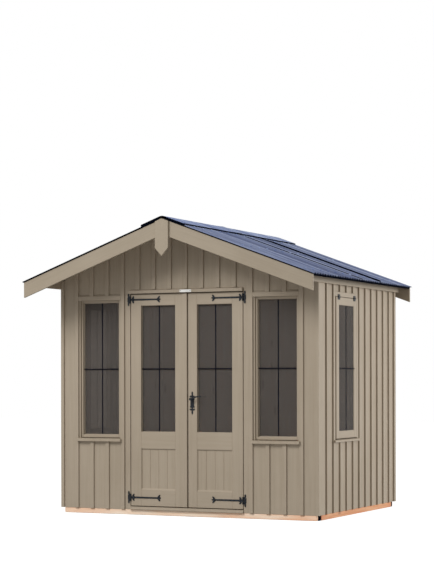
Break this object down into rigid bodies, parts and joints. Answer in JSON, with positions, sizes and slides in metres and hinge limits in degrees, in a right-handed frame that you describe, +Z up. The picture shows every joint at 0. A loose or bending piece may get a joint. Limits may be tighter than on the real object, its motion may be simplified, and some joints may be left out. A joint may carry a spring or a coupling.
{
  "type": "summerhouse",
  "caption": "Timber summerhouse with board-and-strip walls, glazed double doors on tee hinges, tall windows and a corrugated gable roof with a front overhang.",
  "frame": {"origin": "on the ground under the centre of the overall box", "axes": "+X to the right as seen from the front, +Y to the back so that the doors face -Y, +Z up"},
  "size_m": [2.6686, 2.369, 2.4811],
  "materials": {
    "painted_boards": "matt taupe paint on boards",
    "painted_trim": "matt taupe paint on planed trim",
    "bare_pine": "bare softwood",
    "glass": "clear glass, dark behind",
    "ironwork": "black antique iron",
    "roofing": "slate-blue corrugated bitumen sheet"
  },
  "bodies": {
    "house": {"bearers": "bare_pine", "floor_joists": "bare_pine", "floor": "bare_pine", "front_wall_left": "painted_boards", "front_wall_right": "painted_boards", "front_gable": "painted_boards", "back_wall": "painted_boards", "left_wall": "painted_boards", "right_wall": "painted_boards", "corner_boards": "painted_boards", "left_door_jamb": "painted_trim", "right_door_jamb": "painted_trim", "door_stops": "painted_trim", "threshold": "painted_trim", "door_head": "painted_trim", "front_left_window_frame": "painted_trim", "front_right_window_frame": "painted_trim", "left_window_frame": "painted_trim", "right_window_frame": "painted_trim", "front_left_sash": "painted_trim", "front_right_sash": "painted_trim", "left_sash": "painted_trim", "right_sash": "painted_trim", "window_panes": "glass", "window_sills": "painted_trim", "window_hinges": "ironwork", "ridge_beam": "bare_pine", "left_roof_deck": "bare_pine", "right_roof_deck": "bare_pine", "left_fascia": "painted_trim", "right_fascia": "painted_trim", "front_left_bargeboard": "painted_trim", "front_right_bargeboard": "painted_trim", "back_left_bargeboard": "painted_trim", "back_right_bargeboard": "painted_trim", "finials": "painted_trim", "left_roof_sheet": "roofing", "right_roof_sheet": "roofing", "ridge_cap": "roofing", "left_hinge_plates": "ironwork", "right_hinge_plates": "ironwork"},
    "left_door": {"left_door_leaf": "painted_trim", "left_door_panel": "painted_trim", "left_door_pane": "glass", "meeting_strip": "painted_trim", "left_door_straps": "ironwork"},
    "right_door": {"right_door_leaf": "painted_trim", "right_door_panel": "painted_trim", "right_door_pane": "glass", "right_door_straps": "ironwork", "handle_plates": "ironwork"},
    "lever": {"door_lever": "ironwork"}
  },
  "joints": [
    {"name": "left_door_hinge", "type": "hinge", "parent": "house", "child": "left_door", "pos_m": [-0.527, -0.7435, 0.985], "axis": [0, 0, -1], "range_deg": [0, 135]},
    {"name": "right_door_hinge", "type": "hinge", "parent": "house", "child": "right_door", "pos_m": [0.527, -0.7435, 0.985], "axis": [0, 0, 1], "range_deg": [0, 135]},
    {"name": "lever_turn", "type": "hinge", "parent": "right_door", "child": "lever", "pos_m": [0.059, -0.7165, 0.985], "axis": [0, 1, 0], "range_deg": [0, 40], "stiffness_Nm_per_rad": 0.6, "springref_deg": -28.65}
  ]
}
